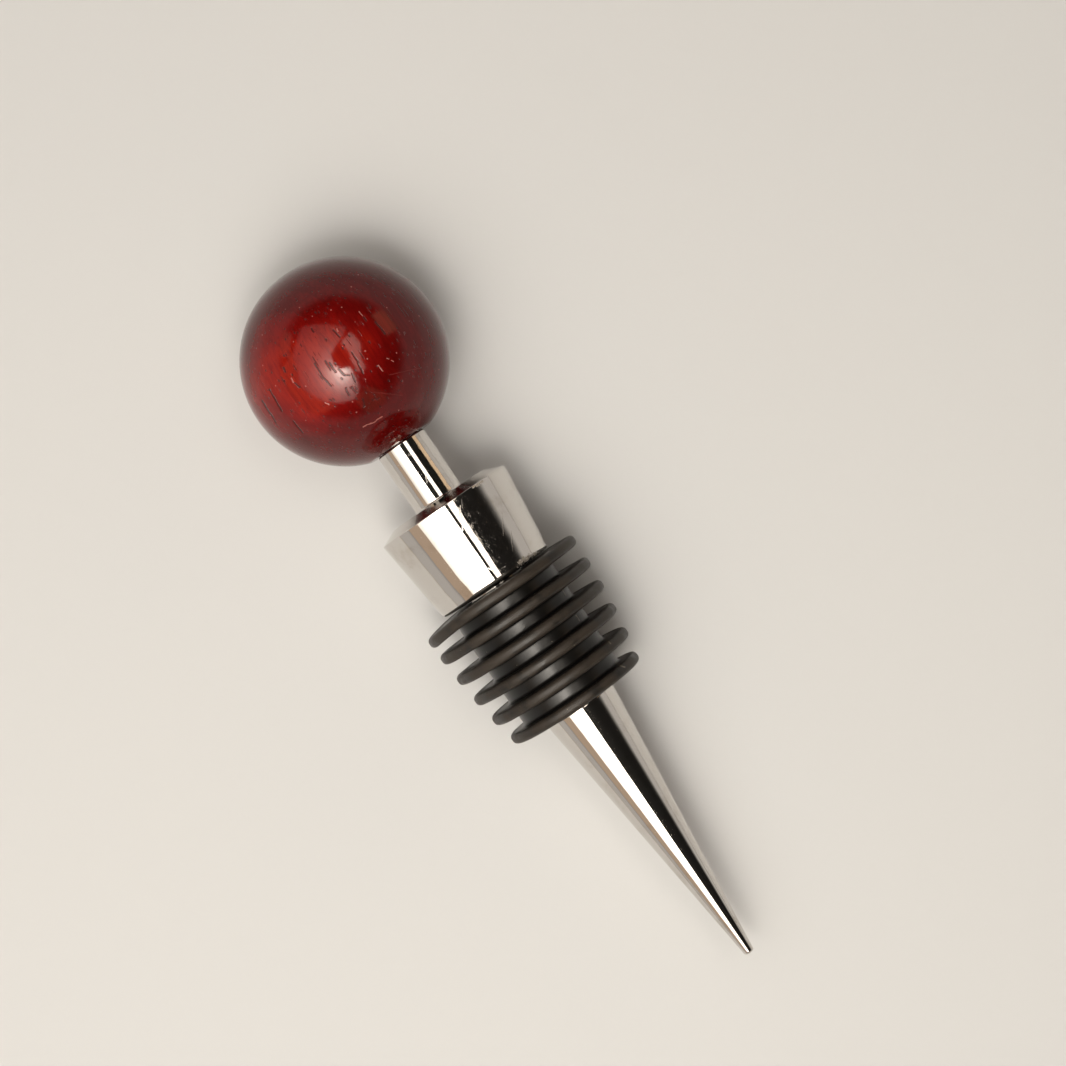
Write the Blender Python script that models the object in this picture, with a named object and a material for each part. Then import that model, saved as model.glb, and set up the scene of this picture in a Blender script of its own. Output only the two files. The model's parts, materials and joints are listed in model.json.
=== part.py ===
"""Wine stopper: a turned wooden ball on a chromed plug with a ribbed rubber sleeve.

It lies on the surface z = 0 as it comes to rest, on the ball and on the widest ribs.
Its long axis is in the XZ plane, with the tip towards +X. Lengths are in metres.
"""

import math

import bmesh
import bpy
import numpy as np

# Every piece is turned about the long axis, with one of its flats facing down
FACETS = 40

# Clearance between pieces that touch or fit inside each other
SEAT_GAP = 0.0003

# Knob: a hardwood ball, cut flat where the post meets it
KNOB_RADIUS = 0.0140
KNOB_FLAT_RADIUS = 0.0050
KNOB_EDGE = 0.0003

# Stud: a steel rod that holds the knob on the post
STUD_RADIUS = 0.0025
STUD_IN_KNOB = 0.0100
STUD_IN_POST = 0.0100
STUD_CHAMFER = 0.0004

# Body: post, collar, neck and cone in one piece of chromed metal
POST_RADIUS = 0.00365
POST_LENGTH = 0.0088
POST_EDGE = 0.0003
POST_FOOT = 0.0005
SHOULDER_FLAT_RADIUS = 0.0074
SHOULDER_EDGE = 0.0006
SHOULDER_RISE = 0.0011
COLLAR_RIM_RADIUS = 0.0098
COLLAR_RIM_EDGE = 0.0002
COLLAR_LENGTH = 0.0123
COLLAR_END_RADIUS = 0.0084
COLLAR_END_ROUND = 0.0005
NECK_RADIUS = 0.0042
CONE_BASE_RADIUS = 0.00525
CONE_BASE_EDGE = 0.0002
CONE_LENGTH = 0.0403
CONE_TIP_RADIUS = 0.0007
CONE_TIP_ROUND = 0.0006

# Seal: a rubber sleeve with round-edged ribs that get smaller towards the tip
RIB_COUNT = 6
RIB_PITCH = 0.00350
RIB_THICKNESS = 0.0015
RIB_FIRST_RADIUS = 0.0120
RIB_LAST_RADIUS = 0.01015
RIB_EDGE = 0.0007
RIB_ROOT = 0.0005
SLEEVE_RADIUS = 0.0076

# Steps in a rounded corner's arc, and round the ball from its pole to its flat
EDGE_STEPS = 3
ROOT_STEPS = 2
BALL_STEPS = 21

# Places along the axis, measured from the ball's centre towards the tip
KNOB_FLAT_PLACE = math.sqrt(KNOB_RADIUS ** 2 - KNOB_FLAT_RADIUS ** 2)
POST_PLACE = KNOB_FLAT_PLACE + SEAT_GAP
STUD_PLACE = KNOB_FLAT_PLACE - STUD_IN_KNOB
COLLAR_END_PLACE = POST_PLACE + POST_LENGTH + SHOULDER_RISE + COLLAR_LENGTH
SEAL_PLACE = COLLAR_END_PLACE + SEAT_GAP
SEAL_LENGTH = RIB_PITCH * (RIB_COUNT - 1) + RIB_THICKNESS
CONE_PLACE = SEAL_PLACE + SEAL_LENGTH + SEAT_GAP


def corner_arc(before, corner, after, radius, steps):
    """Points of the arc that rounds a profile's corner, kept within half of each side."""
    corner = np.array(corner)
    back = np.array(before) - corner
    ahead = np.array(after) - corner
    back_length = np.linalg.norm(back)
    ahead_length = np.linalg.norm(ahead)
    back = back / back_length
    ahead = ahead / ahead_length
    half_angle = math.acos(float(np.clip(back @ ahead, -1.0, 1.0))) / 2
    trim = min(radius / math.tan(half_angle), back_length / 2, ahead_length / 2)
    radius = trim * math.tan(half_angle)
    middle = (back + ahead) / np.linalg.norm(back + ahead)
    centre = corner + middle * radius / math.sin(half_angle)
    first = corner + back * trim - centre
    last = corner + ahead * trim - centre
    turn = math.pi - 2 * half_angle
    points = []
    for step in range(steps + 1):
        share = step / steps
        weight_first = math.sin((1 - share) * turn) / math.sin(turn)
        weight_last = math.sin(share * turn) / math.sin(turn)
        points.append(tuple(centre + first * weight_first + last * weight_last))
    return points


def rounded(corners):
    """Profile through corners given as (along, radius, rounding, steps); 0 leaves one sharp."""
    points = []
    for index, (along, radius, rounding, steps) in enumerate(corners):
        if rounding == 0:
            points.append((along, radius))
            continue
        before = corners[index - 1][:2]
        after = corners[(index + 1) % len(corners)][:2]
        points += corner_arc(before, (along, radius), after, rounding, steps)
    return points


def knob_profile():
    """Ball from its far pole to the flat, then down the blind hole for the stud."""
    flat_angle = math.asin(KNOB_FLAT_RADIUS / KNOB_RADIUS)
    edge_angle = flat_angle + KNOB_EDGE / KNOB_RADIUS
    points = []
    for step in range(BALL_STEPS + 1):
        angle = math.pi + (edge_angle - math.pi) * step / BALL_STEPS
        points.append((KNOB_RADIUS * math.cos(angle), KNOB_RADIUS * math.sin(angle)))
    points[0] = (-KNOB_RADIUS, 0.0)
    hole_radius = STUD_RADIUS + SEAT_GAP
    hole_end = KNOB_FLAT_PLACE - STUD_IN_KNOB - SEAT_GAP
    points.append((KNOB_FLAT_PLACE, KNOB_FLAT_RADIUS - KNOB_EDGE))
    points.append((KNOB_FLAT_PLACE, hole_radius))
    points.append((hole_end, hole_radius))
    points.append((hole_end, 0.0))
    return points


def stud_profile():
    """Plain rod with chamfered ends; its thread is too fine to model here."""
    length = STUD_IN_KNOB + SEAT_GAP + STUD_IN_POST
    return [
        (0.0, 0.0),
        (0.0, STUD_RADIUS - STUD_CHAMFER),
        (STUD_CHAMFER, STUD_RADIUS),
        (length - STUD_CHAMFER, STUD_RADIUS),
        (length, STUD_RADIUS - STUD_CHAMFER),
        (length, 0.0),
    ]


def body_profile():
    """From the bottom of the tapped hole, over the post and the collar, to the cone's tip."""
    hole_radius = STUD_RADIUS + SEAT_GAP
    hole_end = STUD_IN_POST + SEAT_GAP
    rim = POST_LENGTH + SHOULDER_RISE
    collar_end = rim + COLLAR_LENGTH
    cone = CONE_PLACE - POST_PLACE
    tip = cone + CONE_LENGTH
    return rounded([
        (hole_end, 0.0, 0, 0),
        (hole_end, hole_radius, 0, 0),
        (0.0, hole_radius, 0, 0),
        (0.0, POST_RADIUS, POST_EDGE, ROOT_STEPS),
        (POST_LENGTH, POST_RADIUS, POST_FOOT, ROOT_STEPS),
        (POST_LENGTH, SHOULDER_FLAT_RADIUS, SHOULDER_EDGE, ROOT_STEPS),
        (rim, COLLAR_RIM_RADIUS, COLLAR_RIM_EDGE, EDGE_STEPS),
        (collar_end, COLLAR_END_RADIUS, COLLAR_END_ROUND, EDGE_STEPS),
        (collar_end, NECK_RADIUS, 0, 0),
        (cone, NECK_RADIUS, 0, 0),
        (cone, CONE_BASE_RADIUS, CONE_BASE_EDGE, ROOT_STEPS),
        (tip, CONE_TIP_RADIUS, CONE_TIP_ROUND, EDGE_STEPS),
        (tip, 0.0, 0, 0),
    ])


def rib_radius(index):
    """Rib's outer radius: the ribs' edges lie on a parabola that falls towards the tip."""
    share = index / (RIB_COUNT - 1)
    return RIB_FIRST_RADIUS - (RIB_FIRST_RADIUS - RIB_LAST_RADIUS) * share ** 2


def seal_profile():
    """Closed section of the sleeve: bore, end faces, ribs and the grooves between them."""
    bore_radius = NECK_RADIUS + SEAT_GAP
    corners = [(0.0, bore_radius, 0, 0)]
    for index in range(RIB_COUNT):
        upper = index * RIB_PITCH
        lower = upper + RIB_THICKNESS
        edge = rib_radius(index)
        if index > 0:
            corners.append((upper, SLEEVE_RADIUS, RIB_ROOT, ROOT_STEPS))
        corners.append((upper, edge, RIB_EDGE, EDGE_STEPS))
        corners.append((lower, edge, RIB_EDGE, EDGE_STEPS))
        if index < RIB_COUNT - 1:
            corners.append((lower, SLEEVE_RADIUS, RIB_ROOT, ROOT_STEPS))
    corners.append((SEAL_LENGTH, bore_radius, 0, 0))
    return rounded(corners)


def turned(name, profile, material, closed=False):
    """One solid of revolution about the local X axis, with a flat facing local -Z."""
    start = -math.pi / 2 + math.pi / FACETS
    shape = bmesh.new()
    verts = []
    for along, radius in profile:
        place = (along, radius * math.cos(start), radius * math.sin(start))
        verts.append(shape.verts.new(place))
    edges = [shape.edges.new(pair) for pair in zip(verts, verts[1:])]
    if closed:
        edges.append(shape.edges.new((verts[-1], verts[0])))
    bmesh.ops.spin(
        shape,
        geom=verts + edges,
        cent=(0, 0, 0),
        axis=(1, 0, 0),
        angle=2 * math.pi,
        steps=FACETS,
        use_merge=True,
    )
    bmesh.ops.remove_doubles(shape, verts=shape.verts, dist=0.000001)
    bmesh.ops.recalc_face_normals(shape, faces=shape.faces)
    mesh = bpy.data.meshes.new(name)
    shape.to_mesh(mesh)
    shape.free()
    mesh.shade_smooth()
    mesh.set_sharp_from_angle(angle=math.radians(35))
    mesh.materials.append(material)
    piece = bpy.data.objects.new(name, mesh)
    bpy.context.scene.collection.objects.link(piece)
    return piece


def principled(name, colour, roughness, metallic=0.0, coat=0.0):
    """Material with the piece's colour, roughness and metallic value."""
    material = bpy.data.materials.new(name)
    material.use_nodes = True
    shader = material.node_tree.nodes["Principled BSDF"]
    shader.inputs["Base Color"].default_value = (*colour, 1.0)
    shader.inputs["Roughness"].default_value = roughness
    shader.inputs["Metallic"].default_value = metallic
    shader.inputs["Coat Weight"].default_value = coat
    return material


def lowest(profile, place, tilt):
    """Height of a turned piece's lowest flat over the ball's centre, at a tilt of the axis."""
    flat_share = math.cos(math.pi / FACETS)
    return min(
        -(place + along) * math.sin(tilt) - radius * flat_share * math.cos(tilt)
        for along, radius in profile
    )


def rest_tilt(knob, seal):
    """Tilt at which the knob and the seal's ribs touch the surface together."""
    flatter = -math.pi / 4
    steeper = math.pi / 4
    for _ in range(60):
        tilt = (flatter + steeper) / 2
        if lowest(seal, SEAL_PLACE, tilt) > lowest(knob, 0.0, tilt):
            flatter = tilt
        else:
            steeper = tilt
    return (flatter + steeper) / 2


def corners_of(pieces):
    """World positions of every vertex of the pieces."""
    bpy.context.view_layer.update()
    return np.array([
        piece.matrix_world @ vertex.co
        for piece in pieces
        for vertex in piece.data.vertices
    ])


for item in list(bpy.data.objects):
    bpy.data.objects.remove(item)

wood = principled("stained_wood", (0.150, 0.006, 0.004), 0.18, coat=1.0)
chrome = principled("chrome", (0.82, 0.80, 0.77), 0.07, metallic=1.0)
steel = principled("steel", (0.48, 0.48, 0.50), 0.35, metallic=1.0)
rubber = principled("black_rubber", (0.018, 0.018, 0.018), 0.48)

stopper = bpy.data.objects.new("stopper", None)
bpy.context.scene.collection.objects.link(stopper)

knob_points = knob_profile()
seal_points = seal_profile()
knob = turned("knob", knob_points, wood)
stud = turned("stud", stud_profile(), steel)
body = turned("body", body_profile(), chrome)
seal = turned("seal", seal_points, rubber, closed=True)
stud.location.x = STUD_PLACE
body.location.x = POST_PLACE
seal.location.x = SEAL_PLACE

pieces = [knob, stud, body, seal]
for piece in pieces:
    piece.parent = stopper

# The axis falls towards the tip until the ribs touch; the origin is under the box's centre
stopper.rotation_euler.y = rest_tilt(knob_points, seal_points)
points = corners_of(pieces)
low = points.min(axis=0)
high = points.max(axis=0)
stopper.location = (-(low[0] + high[0]) / 2, -(low[1] + high[1]) / 2, -low[2])
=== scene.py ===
import json
import math

import bmesh
import bpy
from mathutils import Matrix, Vector, noise


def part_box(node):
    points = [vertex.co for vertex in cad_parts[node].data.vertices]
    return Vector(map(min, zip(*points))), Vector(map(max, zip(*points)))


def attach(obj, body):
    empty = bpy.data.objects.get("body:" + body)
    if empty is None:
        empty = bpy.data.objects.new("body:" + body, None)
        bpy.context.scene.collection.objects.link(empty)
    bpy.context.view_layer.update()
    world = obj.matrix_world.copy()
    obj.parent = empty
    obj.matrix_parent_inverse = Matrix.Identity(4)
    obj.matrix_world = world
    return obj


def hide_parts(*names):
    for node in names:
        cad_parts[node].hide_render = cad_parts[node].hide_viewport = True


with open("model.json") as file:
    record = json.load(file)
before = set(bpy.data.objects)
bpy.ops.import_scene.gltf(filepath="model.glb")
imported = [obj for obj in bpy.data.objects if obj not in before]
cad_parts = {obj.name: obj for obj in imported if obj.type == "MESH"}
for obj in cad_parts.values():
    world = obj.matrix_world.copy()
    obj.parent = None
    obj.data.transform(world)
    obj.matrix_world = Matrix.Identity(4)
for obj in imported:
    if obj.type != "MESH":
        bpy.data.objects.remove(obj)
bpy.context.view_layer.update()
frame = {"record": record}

# The stopper's lie
# It rests on the ball and the widest ribs, so its own axis falls a little towards the tip.
# Every piece is turned about that axis, and measured in millimetres from the ball's centre.
MM = 0.001
BALL_RADIUS = 14.0
ball_low, ball_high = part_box("knob")
ball_half = (ball_high.z - ball_low.z) / 2
# The solids' facets fall this far short of round, and the finer pieces keep inside them
round_share = ball_half / (BALL_RADIUS * MM)
axis = Vector(frame["record"]["mounts"][0]["axis"]).normalized()
across = Vector((0, 1, 0))
ball_centre = Vector((ball_low.x + BALL_RADIUS * MM * axis.x, 0, ball_low.z + ball_half))
lie = Matrix((axis, across, axis.cross(across))).transposed().to_4x4()
lie.translation = ball_centre


# Chromed plug
# One casting of plated metal: the post that carries the ball, the collar, the neck under
# the rubber and the long cone. It is turned, polished at the edges and then chromed.
FLAT_RADIUS = 5.0
POST_SEATING = 0.05
POST_RADIUS = 3.65
POST_LENGTH = 9.05
HOLE_RADIUS = 2.8
HOLE_DEPTH = 10.6
SHOULDER_FLAT_RADIUS = 7.4
SHOULDER_RISE = 1.1
COLLAR_RIM_RADIUS = 9.8
COLLAR_LENGTH = 12.3
COLLAR_BELLY = (9.8, 8.73)
COLLAR_END_RADIUS = 8.35
NECK_RADIUS = 4.2
SLEEVE_LENGTH = 19.0
SLEEVE_GAP = 0.3
CONE_BASE_RADIUS = 5.25
CONE_LENGTH = 40.3
CONE_TIP_RADIUS = 0.7
flat_place = math.sqrt(BALL_RADIUS ** 2 - FLAT_RADIUS ** 2)
post_top = flat_place + POST_SEATING
post_foot = post_top + POST_LENGTH
collar_rim = post_foot + SHOULDER_RISE
collar_end = collar_rim + COLLAR_LENGTH
cone_base = collar_end + SLEEVE_LENGTH + 2 * SLEEVE_GAP
cone_tip = cone_base + CONE_LENGTH


def corner_arc(before, corner, after, radius, steps):
    """Arc that rounds a corner of an outline, kept within half of each side."""
    corner = Vector(corner)
    back = Vector(before) - corner
    ahead = Vector(after) - corner
    half_angle = back.angle(ahead) / 2
    trim = min(radius / math.tan(half_angle), back.length / 2, ahead.length / 2)
    radius = trim * math.tan(half_angle)
    middle = (back.normalized() + ahead.normalized()).normalized()
    centre = corner + middle * radius / math.sin(half_angle)
    first = corner + back.normalized() * trim - centre
    last = corner + ahead.normalized() * trim - centre
    return [tuple(centre + first.slerp(last, step / steps) * radius) for step in range(steps + 1)]


def outline(corners, closed=False, steps=8, hold=0.04):
    """Outline through corners (along, radius, rounding), with a point just past each arc.

    The points beside the arcs keep the shading of the long straight sides flat.
    """
    arcs = []
    for index, (along, radius, rounding) in enumerate(corners):
        if rounding == 0:
            arcs.append([(along, radius)])
            continue
        before = corners[index - 1][:2]
        after = corners[(index + 1) % len(corners)][:2]
        arcs.append(corner_arc(before, (along, radius), after, rounding, steps))
    points = []
    following_arcs = arcs[1:] + arcs[:1] if closed else arcs[1:]
    for arc, following in zip(arcs, following_arcs):
        points += arc
        side = Vector(following[0]) - Vector(arc[-1])
        if side.length > 4 * hold:
            points.append(tuple(Vector(arc[-1]) + side.normalized() * hold))
            points.append(tuple(Vector(following[0]) - side.normalized() * hold))
    return points if closed else points + arcs[-1]


def turned(name, points, sides, closed=False):
    """Piece turned about the stopper's axis, still in the axis's own coordinates."""
    shape = bmesh.new()
    verts = [shape.verts.new((along * MM, 0, radius * MM * round_share)) for along, radius in points]
    edges = [shape.edges.new(pair) for pair in zip(verts, verts[1:])]
    if closed:
        edges.append(shape.edges.new((verts[-1], verts[0])))
    bmesh.ops.spin(shape, geom=verts + edges, cent=(0, 0, 0), axis=(1, 0, 0),
                   angle=math.tau, steps=sides, use_merge=True)
    bmesh.ops.remove_doubles(shape, verts=shape.verts, dist=0.000001)
    bmesh.ops.recalc_face_normals(shape, faces=shape.faces)
    mesh = bpy.data.meshes.new(name)
    shape.to_mesh(mesh)
    shape.free()
    mesh.shade_smooth()
    piece = bpy.data.objects.new(name, mesh)
    bpy.context.scene.collection.objects.link(piece)
    return piece


def lay(piece, node, material):
    """Turns a finished piece into the stopper's lie, gives it its material, hangs it on the root and hides
    the CAD part it stands for.
    """
    piece.data.transform(lie)
    piece.data.materials.append(material)
    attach(piece, "root")
    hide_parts(node)


class Shade:
    """Output of a shader node. Sums and products of shades add Math nodes to the tree."""

    def __init__(self, tree, output=None):
        self.tree = tree
        self.output = output

    def node(self, kind, settings=None, inputs=None, output=0):
        """Adds any node: its settings first, then the values or links of its sockets."""
        made = self.tree.nodes.new(kind)
        for setting, value in (settings or {}).items():
            setattr(made, setting, value)
        for socket, value in (inputs or {}).items():
            if isinstance(value, Shade):
                self.tree.links.new(value.output, made.inputs[socket])
            else:
                made.inputs[socket].default_value = value
        return Shade(self.tree, made.outputs[output])

    def into(self, socket):
        """Feeds this output to a shader's own socket."""
        self.tree.links.new(self.output, socket)

    def maths(self, operation, *values):
        """Number worked out from numbers."""
        return self.node("ShaderNodeMath", {"operation": operation}, dict(enumerate(values)))

    def __add__(self, other):
        return self.maths("ADD", self, other)

    __radd__ = __add__

    def __mul__(self, other):
        return self.maths("MULTIPLY", self, other)

    __rmul__ = __mul__

    def __sub__(self, other):
        return self.maths("SUBTRACT", self, other)

    def __rsub__(self, other):
        return self.maths("SUBTRACT", other, self)

    def __truediv__(self, other):
        return self.maths("DIVIDE", self, other)

    def __rtruediv__(self, other):
        return self.maths("DIVIDE", other, self)

    def fade(self, start, end):
        """Smooth change from 0 to 1 as the value goes from start to end."""
        return self.node("ShaderNodeMapRange", {"interpolation_type": "SMOOTHSTEP"},
                         {0: self, 1: start, 2: end})

    def blend(self, first, second):
        """Colour between two colours, by this value."""
        return self.node("ShaderNodeMix", {"data_type": "RGBA"}, {0: self, 6: first, 7: second}, 2)

    def vector(self, operation, *values, output=0):
        """Vector worked out from vectors, or a number where the output is Value."""
        return self.node("ShaderNodeVectorMath", {"operation": operation},
                         dict(enumerate(values)), output)

    def parts(self):
        """The three numbers of a vector or colour."""
        split = self.node("ShaderNodeSeparateXYZ", inputs={0: self}).output.node
        return [Shade(self.tree, output) for output in split.outputs]

    def turned_place(self, place, turn):
        """A place turned about the ball's centre."""
        return self.node("ShaderNodeMapping", {"vector_type": "POINT"},
                         {"Vector": place, "Rotation": turn})

    def noise(self, place, scale, detail=2.0, roughness=0.5, stretch=(1, 1, 1)):
        """Noise value at a place, with its grain stretched."""
        drawn = self.vector("MULTIPLY", place, stretch)
        return self.node("ShaderNodeTexNoise", {"noise_dimensions": "3D"},
                         {"Vector": drawn, "Scale": scale, "Detail": detail, "Roughness": roughness})

    def marks(self, place, size, length, radius, share):
        """Mask of short marks along the first axis, one in each chosen cell.

        The cells are size across and length long, and a share of them has a mark.
        """
        drawn = self.vector("MULTIPLY", place, (1 / length, 1 / size, 1 / size))
        away = self.node("ShaderNodeTexVoronoi", {"feature": "F1"}, {"Vector": drawn, "Scale": 1.0})
        number = self.node("ShaderNodeTexVoronoi", {"feature": "F1"},
                           {"Vector": drawn, "Scale": 1.0}, output="Color")
        chosen = number.parts()[0].fade(1 - share, 1 - share + 0.005)
        return away.fade(radius / size, 0.6 * radius / size) * chosen

    def strokes(self, place, lines, width, waver=0.28):
        """Mask of thin wavering lines on the top, each between two spots (along, sideways)."""
        drift = self.node("ShaderNodeTexNoise",
                          inputs={"Vector": place, "Scale": 1.6, "Detail": 3}, output="Color")
        drift = self.vector("MULTIPLY", self.vector("SUBTRACT", drift, (0.5, 0.5, 0.5)), [waver] * 3)
        spot = self.vector("MULTIPLY", self.vector("ADD", place, drift), (1, 1, 0))
        mask = 0.0
        for start, end in lines:
            start = Vector((*start, 0))
            run = Vector((*end, 0)) - start
            from_start = self.vector("SUBTRACT", spot, start)
            share = self.vector("DOT_PRODUCT", from_start, run / run.length_squared, output="Value")
            share = self.maths("MAXIMUM", self.maths("MINIMUM", share, 1.0), 0.0)
            nearest = self.node("ShaderNodeVectorMath", {"operation": "SCALE"}, {0: run, 3: share})
            away = self.vector("DISTANCE", from_start, nearest, output="Value")
            mask = self.maths("MAXIMUM", away.fade(width, 0.3 * width), mask)
        return mask * place.parts()[2].fade(0.0, 1.0)

    def patches(self, place, spots, raggedness=5):
        """Mask of ragged patches on the top, each with its middle and reach (along, sideways)."""
        along, sideways, upward = place.parts()
        ragged = (self.noise(place, 2.2, detail=4, roughness=0.7) - 0.5) * raggedness
        mask = 0.0
        for middle, reach in spots:
            offset = self.node("ShaderNodeCombineXYZ", inputs={
                0: (along - middle[0]) / reach[0], 1: (sideways - middle[1]) / reach[1]})
            away = self.vector("LENGTH", offset, output="Value") + ragged
            mask = self.maths("MAXIMUM", away.fade(1.2, 0.6), mask)
        return mask * upward.fade(0.0, 1.0)


def new_material(name):
    """New material, the sockets of its surface, and a Shade to draw nodes from."""
    material = bpy.data.materials.new(name)
    material.use_nodes = True
    surface = material.node_tree.nodes["Principled BSDF"].inputs
    return material, surface, Shade(material.node_tree)


def stopper_place(shade):
    """Place on a piece in millimetres: along the axis, across it and up from it."""
    back = lie.inverted()
    rest_place = shade.node("ShaderNodeTexCoord", output="Object")
    return shade.node("ShaderNodeMapping", {"vector_type": "POINT"}, {
        "Vector": rest_place, "Location": back.translation / MM, "Rotation": back.to_euler(),
        "Scale": (1 / MM, 1 / MM, 1 / MM)})


CHROME = (0.64, 0.612, 0.580, 1)
CHROME_HAZE = (0.53, 0.49, 0.44, 1)
RESIDUE = (0.17, 0.14, 0.10, 1)
SCRATCH_TURNS = [(0.3, 0.5, 0.2), (0.1, -0.9, 1.1), (1.2, 0.4, -0.7), (0.6, 1.2, 0.5)]
SCRATCHES = [
    ((23.8, 2.4), (24.9, 1.9)),
    ((24.5, 1.8), (25.6, 1.0)),
    ((25.6, 1.3), (27.3, 0.2)),
    ((26.3, 3.1), (26.6, 3.2)),
    ((26.7, 6.7), (30.9, 4.2)),
    ((30.9, 5.4), (33.2, 4.1)),
    ((30.0, 2.7), (30.6, 3.1)),
    ((33.2, 0.2), (34.1, 0.6)),
    ((34.2, 1.6), (34.3, 2.4)),
    ((15.1, -0.1), (15.3, 0.2)),
    ((18.7, 0.3), (19.5, -0.1)),
]
SCRATCH_WIDTH = 0.08
RESIDUE_PATCHES = [((35.0, 4.6), (0.32, 0.9)), ((35.2, 6.2), (0.26, 0.5)), ((23.5, 5.4), (0.16, 0.9))]
CHROME_ROUGHNESS = 0.035
CHROME_RELIEF = 0.006

# The collar is scuffed at one side of its top: the scuffs set in and fade out between these
SCUFFS_START = (0.9, 1.8)
SCUFFS_END = (6.5, 2.5)

chrome, surface, shade = new_material("polished_chrome")
place = stopper_place(shade)
along, sideways = place.parts()[:2]
haze = shade.noise(place, 0.25, detail=4, roughness=0.6).fade(0.50, 0.78)
hairlines = 0.0
for turn in SCRATCH_TURNS:
    line_place = shade.turned_place(place, turn)
    hairlines = shade.marks(line_place, size=0.30, length=9.0, radius=0.022, share=0.35) + hairlines
scratches = shade.strokes(place, SCRATCHES, SCRATCH_WIDTH)
on_collar = along.fade(collar_end + 1, collar_end - 1)
handled = sideways.fade(*SCUFFS_START) * sideways.fade(*SCUFFS_END) * on_collar
rubbed = shade.noise(place, 2.4, detail=5, roughness=0.75, stretch=(0.6, 1.3, 1.3))
scuffs = rubbed.fade(0.50, 0.66) * handled
specks = shade.marks(place, size=1.2, length=1.2, radius=0.07, share=0.25)
residue = shade.maths("MAXIMUM", specks, shade.patches(place, RESIDUE_PATCHES))
colour = haze.blend(CHROME, CHROME_HAZE)
(residue * 0.7).blend(colour, RESIDUE).into(surface["Base Color"])
(1 - residue * 0.6).into(surface["Metallic"])
worn = hairlines * 0.15 + scratches * 0.19 + scuffs * 0.20
(haze * 0.05 + CHROME_ROUGHNESS + worn + residue * 0.4).into(surface["Roughness"])
swell = shade.noise(place, 0.5, detail=1)
cuts = hairlines * 0.4 + scratches * 0.4
height = swell * 1.5 + residue * 1.5 - cuts + scuffs * shade.noise(place, 9.0) * 0.5
shade.node("ShaderNodeBump", inputs={
    "Height": height, "Distance": CHROME_RELIEF * MM, "Strength": 1.0}).into(surface["Normal"])

PLUG_SIDES = 256

# The turned outline, from the hole for the stud round to the tip: (along, radius, rounding)
plug = turned("chromed_plug", outline([
    (post_top + HOLE_DEPTH, 0.0, 0),
    (post_top + HOLE_DEPTH, HOLE_RADIUS, 0),
    (post_top, HOLE_RADIUS, 0),
    (post_top, POST_RADIUS, 0.25),
    (post_foot, POST_RADIUS, 0.30),
    (post_foot, SHOULDER_FLAT_RADIUS, 1.0),
    (collar_rim, COLLAR_RIM_RADIUS, 0.16),
    (collar_rim + COLLAR_BELLY[0], COLLAR_BELLY[1], 30.0),
    (collar_end, COLLAR_END_RADIUS, 0.5),
    (collar_end, NECK_RADIUS, 0.2),
    (cone_base, NECK_RADIUS, 0.1),
    (cone_base, CONE_BASE_RADIUS, 0.2),
    (cone_tip, CONE_TIP_RADIUS, 0.6),
    (cone_tip, 0.0, 0),
]), PLUG_SIDES)
lay(plug, "body", chrome)


# Rubber sleeve
# One moulding of soft black rubber with six round-edged ribs, wider at the collar. It is
# stretched over the cone and snaps onto the neck, where the cone's base holds it.
RIB_COUNT = 6
RIB_PITCH = 3.50
RIB_THICKNESS = 1.5
RIB_ROUNDING = 0.62
RIB_FIRST_RADIUS = 12.0
RIB_LAST_RADIUS = 10.15
CORE_RADIUS = 7.6
CORE_ROUNDING = 0.5
BORE_RADIUS = 4.5
SLEEVE_SIDES = 256
sleeve_top = collar_end + SLEEVE_GAP

RUBBER = (0.0050, 0.0046, 0.0043, 1)
RUBBER_WORN = (0.021, 0.0155, 0.0110, 1)
DUST = (0.26, 0.23, 0.18, 1)
RUBBER_ROUGHNESS = 0.26
RUBBER_SHINE = 0.35
RUBBER_RELIEF = 0.014
WORN_FROM_RADIUS = 8.6
WORN_BY_RADIUS = 9.9
MOULD_LINE_WIDTH = 0.10
MOULD_LINE_MARKS = [((53.1, 7.0), (54.0, 7.6)), ((49.6, 7.7), (50.4, 7.8)),
                    ((40.9, 6.6), (42.0, 6.6)), ((44.9, 6.2), (45.8, 6.2))]

rubber, surface, shade = new_material("moulded_rubber")
place = stopper_place(shade)
sideways, upward = place.parts()[1:]
from_axis = shade.maths("SQRT", sideways * sideways + upward * upward)
patches = shade.noise(place, 0.45, detail=5, roughness=0.65)
worn = from_axis.fade(WORN_FROM_RADIUS, WORN_BY_RADIUS) * patches.fade(0.25, 0.60)
lint = shade.marks(place, size=0.9, length=0.9, radius=0.07, share=0.14)
fine_dust = shade.marks(place, size=0.5, length=0.8, radius=0.035, share=0.10) * sideways.fade(0, -4)
mould_line = shade.strokes(place, MOULD_LINE_MARKS, MOULD_LINE_WIDTH) * 0.4
dust = shade.maths("MINIMUM", mould_line + (lint + fine_dust), 1.0)
colour = worn.blend(RUBBER, RUBBER_WORN)
dust.blend(colour, DUST).into(surface["Base Color"])
(RUBBER_ROUGHNESS + worn * 0.22 + patches * 0.08 + dust * 0.3).into(surface["Roughness"])
surface["Specular IOR Level"].default_value = RUBBER_SHINE
grain = shade.noise(place, 6.0, detail=4, roughness=0.6)
height = grain * (worn * 0.6 + 0.5) + dust * 2
shade.node("ShaderNodeBump", inputs={
    "Height": height, "Distance": RUBBER_RELIEF * MM, "Strength": 0.8}).into(surface["Normal"])

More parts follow.
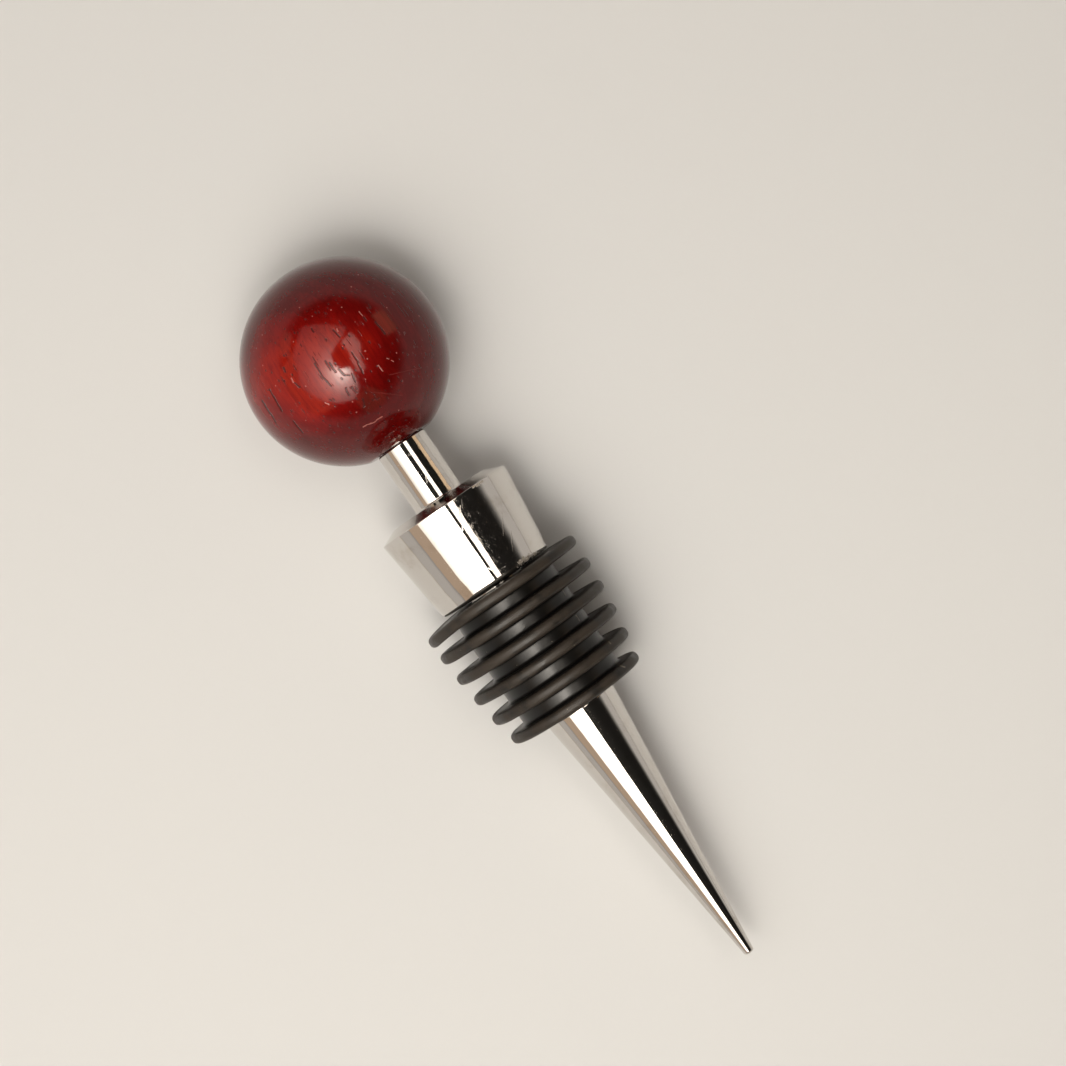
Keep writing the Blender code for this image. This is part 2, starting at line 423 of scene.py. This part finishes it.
sleeve_corners = [(sleeve_top, BORE_RADIUS, 0)]
for rib in range(RIB_COUNT):
    upper = sleeve_top + rib * RIB_PITCH
    lower = upper + RIB_THICKNESS
    share = rib / (RIB_COUNT - 1)
    rim = RIB_FIRST_RADIUS - (RIB_FIRST_RADIUS - RIB_LAST_RADIUS) * share ** 2
    if rib > 0:
        sleeve_corners.append((upper, CORE_RADIUS, CORE_ROUNDING))
    sleeve_corners.append((upper, rim, RIB_ROUNDING))
    sleeve_corners.append((lower, rim, RIB_ROUNDING))
    if rib < RIB_COUNT - 1:
        sleeve_corners.append((lower, CORE_RADIUS, CORE_ROUNDING))
sleeve_corners.append((sleeve_top + SLEEVE_LENGTH, BORE_RADIUS, 0))
sleeve_outline = outline(sleeve_corners, closed=True, steps=6)
sleeve = turned("ribbed_sleeve", sleeve_outline, SLEEVE_SIDES, closed=True)

# The soft ribs stand a little unevenly, and the first one droops on one side
RIB_WAVE = 0.10
WAVE_SCALE = 1.3
WAVES_APART = 5.3
FIRST_RIB_DROOP = 0.75
for vertex in sleeve.data.vertices:
    along, sideways, upward = vertex.co / MM
    from_axis = math.hypot(sideways, upward)
    standing = max(0.0, min(1.0, (from_axis - CORE_RADIUS) / (RIB_LAST_RADIUS - CORE_RADIUS)))
    rib = round((along - sleeve_top - RIB_THICKNESS / 2) / RIB_PITCH)
    spot = Vector((sideways / from_axis, upward / from_axis, rib * WAVES_APART))
    shift = RIB_WAVE * noise.noise(spot * WAVE_SCALE)
    if rib == 0:
        shift = max(shift, 0.0) + FIRST_RIB_DROOP * max(0.0, -sideways / from_axis) ** 3
    vertex.co.x += shift * standing * MM
lay(sleeve, "seal", rubber)


# Threaded stud
# A short length of plain steel thread, out of sight. It is screwed into the post and glued
# into the wood, and holds the two together.
STUD_RADIUS = 2.5
STUD_IN_BALL = 10.0
STUD_IN_POST = 10.3
THREAD_PITCH = 0.8
THREAD_DEPTH = 0.42
STUD_SIDES = 48
STEEL_DARK = (0.42, 0.42, 0.43, 1)
STEEL_LIGHT = (0.56, 0.56, 0.57, 1)

steel, surface, shade = new_material("plain_steel")
place = stopper_place(shade)
lathe = shade.noise(place, 2.0, detail=3, stretch=(4, 0.4, 0.4))
lathe.blend(STEEL_DARK, STEEL_LIGHT).into(surface["Base Color"])
surface["Metallic"].default_value = 1.0
(lathe * 0.2 + 0.25).into(surface["Roughness"])

stud_start = flat_place - STUD_IN_BALL
stud_end = flat_place + STUD_IN_POST
stud_points = [(stud_start, 0.0), (stud_start, STUD_RADIUS - THREAD_DEPTH)]
for turn in range(int((stud_end - stud_start) / THREAD_PITCH) - 1):
    root = stud_start + THREAD_PITCH * (turn + 0.5)
    stud_points.append((root, STUD_RADIUS - THREAD_DEPTH))
    stud_points.append((root + THREAD_PITCH / 2, STUD_RADIUS))
stud_points.append((stud_end, STUD_RADIUS - THREAD_DEPTH))
stud_points.append((stud_end, 0.0))
stud = turned("threaded_stud", stud_points, STUD_SIDES)
lay(stud, "stud", steel)


# Wooden ball
# A ball of open-pored hardwood, turned with its grain along the stopper, stained red and
# dipped in clear gloss lacquer. A small flat and a blind hole take the post and the stud.
# Reds of the wood: the orange is painted light, the deep red serves for darker grain and for painted shade
DEEP_RED = (0.058, 0.0012, 0.0010, 1)
CRIMSON = (0.142, 0.0030, 0.0024, 1)
PAINTED_LIGHT_ORANGE = (0.200, 0.0070, 0.0022, 1)
PORE = (0.030, 0.0020, 0.0015, 1)
# Pale filler colour, also used for painted glints of the lamp on the lacquer
FILLER_AND_GLINT = (0.38, 0.13, 0.11, 1)
LACQUER_ROUGHNESS = 0.08
LACQUER_SHINE = 0.34
WOOD_RELIEF = 0.06

# The heart of the tree lay beside the ball and below it, and the rings round it wander
HEART = (40.0, 26.0)
RING = 2.6
RING_WANDER = 9.0

# Painted light and shade: the red is lighter round one spot (along, sideways) and darkens away from it
PAINTED_LIGHT_SPOT = (-0.8, -4.0)
PAINTED_SHADE_SPREAD = (0.0070, 0.0032)

# The longest pores and the marks on the lacquer, each between two spots (along, sideways)
OPEN_PORES = [
    ((-0.8, -3.3), (1.2, -3.4)), ((1.2, -3.4), (2.7, -3.2)), ((-0.3, -2.0), (1.0, -2.1)),
    ((0.2, -1.7), (1.6, -1.7)), ((1.5, -1.2), (2.5, -1.0)), ((2.5, -1.0), (2.9, -0.5)),
    ((-3.0, 1.1), (-1.8, 1.3)), ((-4.8, -1.1), (-4.2, -1.1)), ((0.7, 1.4), (2.2, 1.4)),
    ((2.2, 1.3), (3.7, 1.1)), ((2.9, -0.1), (4.0, -0.3)), ((4.0, -1.8), (5.0, -2.0)),
    ((4.3, -1.1), (5.2, -1.0)), ((6.3, -0.8), (7.1, -1.1)), ((-0.9, 6.1), (1.0, 6.3)),
    ((-2.8, -6.9), (-2.2, -7.0)), ((-2.2, 5.2), (-1.7, 5.2)), ((-0.4, -6.8), (0.5, -6.6)),
    ((-1.7, -10.0), (1.5, -10.3)), ((-1.2, -11.7), (2.0, -11.8)), ((3.4, -9.8), (5.2, -9.7)),
]
# Filled pores and a raised lacquer line, some of them painted glints of the lamp
FILLED_PORES_AND_GLINTS = [
    ((-3.2, 5.1), (-2.5, 5.2)), ((3.7, 4.7), (3.9, 4.8)), ((4.3, 5.0), (4.5, 5.1)),
    ((3.9, 3.3), (4.8, 3.3)), ((4.0, -5.0), (4.4, -4.8)), ((-1.1, -6.8), (-0.5, -6.9)),
    ((-2.9, 1.5), (-2.5, 1.5)), ((9.1, -2.8), (9.4, -1.3)), ((9.4, -1.3), (9.4, 0.0)),
]
SCRATCHED_LACQUER = [((6.2, 0.6), (8.6, 3.6)), ((5.7, 3.8), (7.0, 7.7))]
OPEN_PORE_WIDTH = 0.16
FILLED_PORE_AND_GLINT_WIDTH = 0.10
LACQUER_SCRATCH_WIDTH = 0.07

wood, surface, shade = new_material("lacquered_red_wood")
place = stopper_place(shade)
along, sideways, upward = place.parts()
wander = shade.noise(place, 0.09, detail=2, stretch=(0.5, 1, 1))
from_heart = HEART[0] - sideways + wander * RING_WANDER
above_heart = upward + HEART[1]
heart_distance = shade.maths("SQRT", from_heart * from_heart + above_heart * above_heart)
layer = shade.maths("FRACT", heart_distance / RING)
late = layer.fade(0.25, 0.95) * layer.fade(1.0, 0.95)
fibre = shade.noise(place, 1.0, detail=5, roughness=0.65, stretch=(0.10, 2.6, 2.6))
figure = shade.noise(place, 0.075, detail=3, roughness=0.6, stretch=(0.8, 1, 1))
along_from_painted_light = along - PAINTED_LIGHT_SPOT[0]
side_from_painted_light = sideways - PAINTED_LIGHT_SPOT[1]
# The wood's own figure, plus painted shade that grows with distance from the painted light spot
figure_and_painted_light = figure * 1.2 - 0.27 + along_from_painted_light * along_from_painted_light * PAINTED_SHADE_SPREAD[0]
figure_and_painted_light = figure_and_painted_light + side_from_painted_light * side_from_painted_light * PAINTED_SHADE_SPREAD[1]
# Darker in late rings and fibres (the wood's own) and away from the spot (painted shade)
dark_share = late * 0.15 + fibre.fade(0.35, 0.65) * 0.30 + figure_and_painted_light.fade(0.40, 0.95) * 0.75
colour = dark_share.blend(CRIMSON, DEEP_RED)
# Painted light: orange round the spot, broken by the fibres
colour = (figure_and_painted_light.fade(0.60, 0.35) * fibre.fade(0.80, 0.30)).blend(colour, PAINTED_LIGHT_ORANGE)

# Open pores: the cut vessels of the wood, long ones where the surface runs with the grain
wide = shade.marks(place, size=0.62, length=8.0, radius=0.11, share=0.85)
narrow = shade.marks(place, size=0.45, length=5.0, radius=0.070, share=0.80)
short = shade.marks(place, size=0.9, length=1.7, radius=0.14, share=0.90)
longest = shade.strokes(place, OPEN_PORES, OPEN_PORE_WIDTH)
open_grain = shade.maths("MAXIMUM", shade.maths("MAXIMUM", wide * 0.65, narrow * 0.45), short * 0.8)
open_grain = shade.maths("MAXIMUM", longest * 0.85, open_grain)

# Pale specks, partly pores that polish has filled and partly painted glints of the lamp, and scratches in
# the lacquer
short_filler_and_glints = shade.marks(place, size=1.3, length=1.5, radius=0.12, share=0.60)
long_filler_and_glints = shade.strokes(place, FILLED_PORES_AND_GLINTS, FILLED_PORE_AND_GLINT_WIDTH)
filler_and_glints = shade.maths("MAXIMUM", short_filler_and_glints * 0.8, long_filler_and_glints)
scratch = shade.strokes(place, SCRATCHED_LACQUER, LACQUER_SCRATCH_WIDTH)
colour = open_grain.blend(colour, PORE)
(filler_and_glints * 0.60 + scratch * 0.06).blend(colour, FILLER_AND_GLINT).into(surface["Base Color"])
marred = open_grain * 0.15 + filler_and_glints * 0.15 + scratch * 0.12
(LACQUER_ROUGHNESS + fibre * 0.04 + marred).into(surface["Roughness"])
surface["Specular IOR Level"].default_value = LACQUER_SHINE
peel = shade.noise(place, 1.6, detail=2)
height = peel * 0.10 + fibre * 0.05 - open_grain * 0.8 + filler_and_glints * 0.35 - scratch * 0.2
shade.node("ShaderNodeBump", inputs={
    "Height": height, "Distance": WOOD_RELIEF * MM, "Strength": 1.0}).into(surface["Normal"])

BALL_SIDES = 288
BALL_STEPS = 160
FLAT_BEVEL = 0.2
FLAT_BEVEL_ANGLE = 0.02
flat_angle = math.asin(FLAT_RADIUS / BALL_RADIUS) + FLAT_BEVEL_ANGLE
ball_points = [(-BALL_RADIUS * round_share, 0.0)]
for step in range(1, BALL_STEPS + 1):
    angle = math.pi + (flat_angle - math.pi) * step / BALL_STEPS
    ball_points.append((BALL_RADIUS * round_share * math.cos(angle), BALL_RADIUS * math.sin(angle)))
ball_points += outline([
    (flat_place, FLAT_RADIUS - FLAT_BEVEL, 0),
    (flat_place, HOLE_RADIUS, 0),
    (flat_place - HOLE_DEPTH, HOLE_RADIUS, 0),
    (flat_place - HOLE_DEPTH, 0.0, 0),
])
ball = turned("wooden_ball", ball_points, BALL_SIDES)

# The dipped lacquer is a little uneven, which bends the edges of what it mirrors. The hole's
# points lie nearer the centre, and stay.
LACQUER_WAVE = 0.018
LACQUERED_FROM = 0.97
for vertex in ball.data.vertices:
    if vertex.co.length > LACQUERED_FROM * ball_half:
        spot = vertex.co / MM
        wave = noise.noise(spot * 0.30) + 0.4 * noise.noise(spot * 0.75)
        vertex.co *= 1 - LACQUER_WAVE * MM * (0.5 + 0.5 * wave) / ball_half
lay(ball, "knob", wood)


# Surface that the stopper lies on
# A plain pale sheet. Near the stopper it is lit by the lamps and takes the shadow; far off
# it is the even pale tone that the eye and the chrome see as the background.
FLOOR = (0.475, 0.483, 0.493, 1)
BACKGROUND = (0.585, 0.545, 0.500, 1)
FLOOR_ROUGHNESS = 0.75
FLOOR_HALF = 6.0
LIT_REACH = 0.16
EVEN_FROM = 0.45

sheet, surface, shade = new_material("pale_sheet")
surface["Base Color"].default_value = FLOOR
surface["Roughness"].default_value = FLOOR_ROUGHNESS


def seen(shade):
    """1 for rays from the camera and from mirror-like or clear surfaces, else 0."""
    rays = shade.node("ShaderNodeLightPath").output.node.outputs
    direct, mirrored, through = [
        Shade(shade.tree, rays[kind]) for kind in ("Is Camera Ray", "Is Glossy Ray", "Is Transmission Ray")]
    return shade.maths("MAXIMUM", shade.maths("MAXIMUM", direct, mirrored), through)


spot = shade.node("ShaderNodeTexCoord", output="Object")
far = shade.vector("LENGTH", spot, output="Value").fade(LIT_REACH, EVEN_FROM)
lit = Shade(shade.tree, sheet.node_tree.nodes["Principled BSDF"].outputs[0])
backdrop = shade.node("ShaderNodeEmission", inputs={"Color": BACKGROUND, "Strength": 1.0})
shade.node("ShaderNodeMixShader", inputs={0: far * seen(shade), 1: lit, 2: backdrop}).into(
    sheet.node_tree.nodes["Material Output"].inputs["Surface"])

floor_mesh = bpy.data.meshes.new("pale_floor")
floor_mesh.from_pydata(
    [(x * FLOOR_HALF, y * FLOOR_HALF, 0) for x, y in ((-1, -1), (1, -1), (1, 1), (-1, 1))],
    [], [(0, 1, 2, 3)])
floor_mesh.materials.append(sheet)
floor = bpy.data.objects.new("pale_floor", floor_mesh)
bpy.context.scene.collection.objects.link(floor)


# Studio light
# A large soft lamp over the stopper's left side, with its hot spot near the top. Dark
# cloth above keeps the rest of the chrome dark, and weaker cards lighten the lacquer.
def mirrored_way(side, down):
    """Direction that the ball mirrors to the camera at a spot on its disc, in ball radii."""
    facing = Vector((down, side, math.sqrt(1 - side ** 2 - down ** 2)))
    return (facing * 2 * facing.z - Vector((0, 0, 1))).normalized()


def card(name, spots, distance, colour, level, hot_spot=None, hot_reach=0.1):
    """Glowing card whose corners are the spots on the ball where they are mirrored.

    A card with a hot spot dims away from it, to a half at the hot spot's reach in metres.
    """
    corners = [ball_centre + mirrored_way(*spot) * distance for spot in spots]
    mesh = bpy.data.meshes.new(name)
    mesh.from_pydata(corners, [], [range(len(corners))])
    material, _, shade = new_material(name)
    if hot_spot:
        heart = ball_centre + mirrored_way(*hot_spot) * distance
        place = shade.node("ShaderNodeTexCoord", output="Object")
        away = shade.vector("DISTANCE", place, heart, output="Value") / hot_reach
        colour = (1 / (away * away + 1)).blend((0, 0, 0, 1), colour)
    shade.node("ShaderNodeEmission", inputs={"Color": colour, "Strength": level}).into(
        material.node_tree.nodes["Material Output"].inputs["Surface"])
    mesh.materials.append(material)
    piece = bpy.data.objects.new(name, mesh)
    bpy.context.scene.collection.objects.link(piece)


card("main_softbox",
     [(-0.12, 0.40), (-0.30, 0.32), (-0.40, 0.20), (-0.45, 0.08), (-0.46, -0.02), (-0.39, -0.12),
      (-0.37, -0.24), (-0.14, -0.42), (-0.03, -0.36), (0.19, -0.20), (0.12, -0.14), (0.02, -0.10),
      (-0.08, -0.05), (-0.10, 0.04), (-0.06, 0.11), (0.01, 0.13), (0.00, 0.26), (-0.03, 0.34)],
     distance=0.60, colour=(1.0, 0.93, 0.83, 1), level=34.0, hot_spot=(-0.10, 0.14), hot_reach=0.085)
card("top_strip",
     [(0.07, -0.10), (0.19, -0.13), (0.21, 0.02), (0.14, 0.12),
      (0.13, 0.22), (0.05, 0.22), (0.055, 0.12), (0.08, 0.02)],
     distance=0.58, colour=(1.0, 0.90, 0.78, 1), level=3.2)
card("side_wall",
     [(-0.54, -0.22), (-0.585, -0.02), (-0.57, 0.12), (-0.51, 0.28), (-0.30, 0.36), (-0.30, -0.30)],
     distance=1.10, colour=(1.0, 0.75, 0.55, 1), level=0.58)
card("right_card",
     [(0.44, -0.17), (0.555, -0.18), (0.580, 0.05), (0.46, 0.07)],
     distance=0.90, colour=(1.0, 0.72, 0.46, 1), level=0.95)
card("left_card",
     [(-0.37, -0.445), (-0.28, -0.505), (-0.26, -0.42), (-0.38, -0.27), (-0.46, -0.35)],
     distance=0.90, colour=(1.0, 0.80, 0.62, 1), level=0.7)
card("end_card",
     [(-0.12, 0.38), (0.05, 0.37), (0.16, 0.50), (0.12, 0.565), (-0.08, 0.575), (-0.13, 0.50)],
     distance=0.90, colour=(1.0, 0.70, 0.45, 1), level=0.5)

# Dark cloth: a dome from over the horizon to the top, outside the cards, pale at its foot
DOME_RADIUS = 1.3
DOME_FOOT = math.radians(14)
DOME_DARK = math.radians(38)
CLOTH = (0.03, 0.03, 0.03, 1)
CLOTH_ROUGHNESS = 0.9

cloth, surface, shade = new_material("dark_cloth")
surface["Base Color"].default_value = CLOTH
surface["Roughness"].default_value = CLOTH_ROUGHNESS
level = shade.node("ShaderNodeTexCoord", output="Object").parts()[2] / DOME_RADIUS
pale = level.fade(math.sin(DOME_DARK), math.sin(DOME_FOOT))
lit = Shade(shade.tree, cloth.node_tree.nodes["Principled BSDF"].outputs[0])
foot = shade.node("ShaderNodeEmission", inputs={"Color": BACKGROUND, "Strength": 1.0})
shade.node("ShaderNodeMixShader", inputs={0: pale * pale * pale, 1: lit, 2: foot}).into(
    cloth.node_tree.nodes["Material Output"].inputs["Surface"])

shape = bmesh.new()
bmesh.ops.create_uvsphere(shape, u_segments=64, v_segments=64, radius=DOME_RADIUS)
bmesh.ops.delete(shape, geom=[
    face for face in shape.faces
    if face.calc_center_median().z < DOME_RADIUS * math.sin(DOME_FOOT)], context="FACES")
dome_mesh = bpy.data.meshes.new("dark_cloth")
shape.to_mesh(dome_mesh)
shape.free()
dome_mesh.materials.append(cloth)
dome = bpy.data.objects.new("dark_cloth", dome_mesh)
bpy.context.scene.collection.objects.link(dome)

# Sky under the dome's foot: its light is weaker than the even tone that the eye sees
SKY_LIGHT = 0.5
world = bpy.data.worlds.new("studio")
bpy.context.scene.world = world
world.use_nodes = True
sky = world.node_tree.nodes["Background"].inputs
sky["Color"].default_value = BACKGROUND
(seen(Shade(world.node_tree)) * (1 - SKY_LIGHT) + SKY_LIGHT).into(sky["Strength"])


# Camera
# It looks almost straight down from a third of a metre, turned so that the stopper points
# down and to the right. Place and turn were fitted to the outline in the photograph.
CAMERA_PLACE = (2.42, 0.24, 327.34)
CAMERA_TURN = (2.3123, -0.0719, 55.5525)
CAMERA_LENS = 80.0

lens = bpy.data.cameras.new("camera")
lens.lens = CAMERA_LENS
lens.clip_start = 0.01
camera = bpy.data.objects.new("camera", lens)
camera.location = Vector(CAMERA_PLACE) * MM
camera.rotation_euler = [math.radians(turn) for turn in CAMERA_TURN]
bpy.context.scene.collection.objects.link(camera)
bpy.context.scene.camera = camera
bpy.context.scene.view_settings.view_transform = "Standard"
